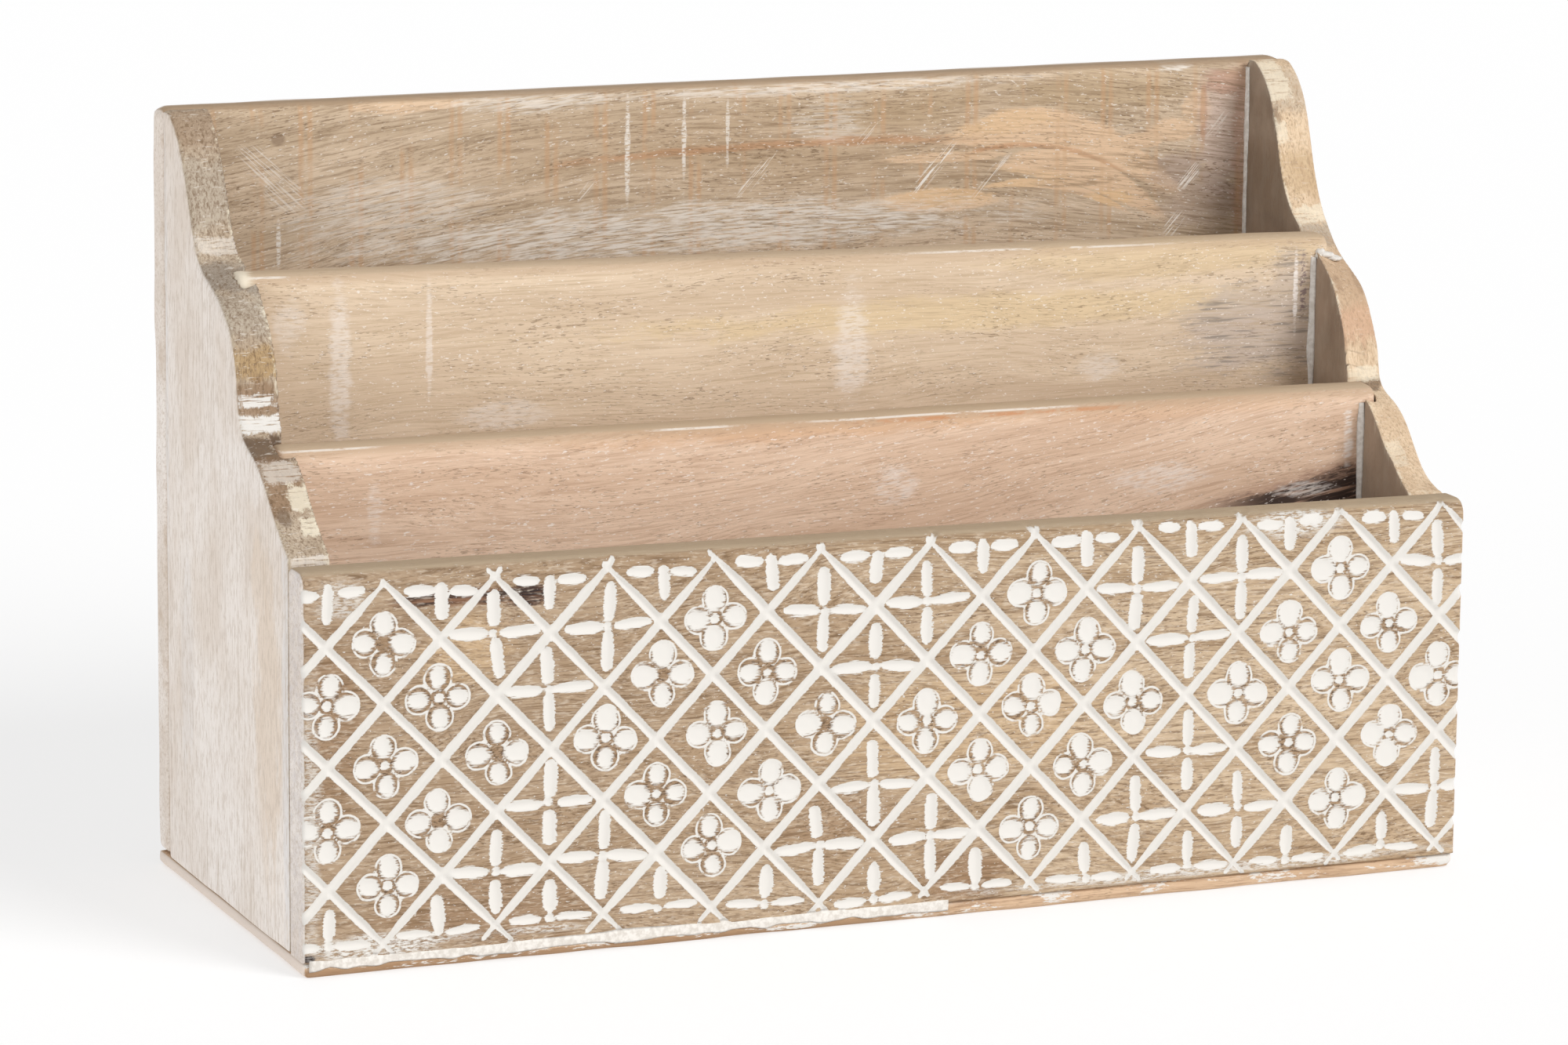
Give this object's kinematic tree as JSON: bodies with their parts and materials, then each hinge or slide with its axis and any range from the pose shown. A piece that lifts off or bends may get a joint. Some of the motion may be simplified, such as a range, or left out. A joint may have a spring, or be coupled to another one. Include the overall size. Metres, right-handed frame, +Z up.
{
  "type": "letter rack",
  "caption": "Stepped wooden letter rack: carved lattice front panel, S-edged sides, upright dividers and a tall back board, in whitewashed wood.",
  "frame": {"origin": "on the floor, under the middle of the base board", "axes": "+X along the width to the right seen from the front, +Y from the front panel to the back board, +Z up"},
  "size_m": [0.32, 0.122, 0.2015],
  "materials": {
    "base_wood": "worn whitewashed wood",
    "carved_wood": "bare tan wood with white paint in the carving",
    "back_wood": "thinly whitewashed wood",
    "side_wood": "heavily whitewashed wood",
    "divider_wood": "sanded pale wood",
    "nail_steel": "bright brad wire",
    "filler_putty": "matt wood filler"
  },
  "bodies": {
    "root": {"base_board": "base_wood", "front_panel": "carved_wood", "back_board": "back_wood", "left_side": "side_wood", "right_side": "side_wood", "rear_divider": "divider_wood", "front_divider": "divider_wood", "front_panel_nails": "nail_steel", "back_board_nails": "nail_steel", "rear_divider_nails": "nail_steel", "front_divider_nails": "nail_steel", "base_board_nails": "nail_steel", "front_nail_filler": "filler_putty", "back_nail_filler": "filler_putty", "side_nail_filler": "filler_putty"}
  },
  "joints": []
}
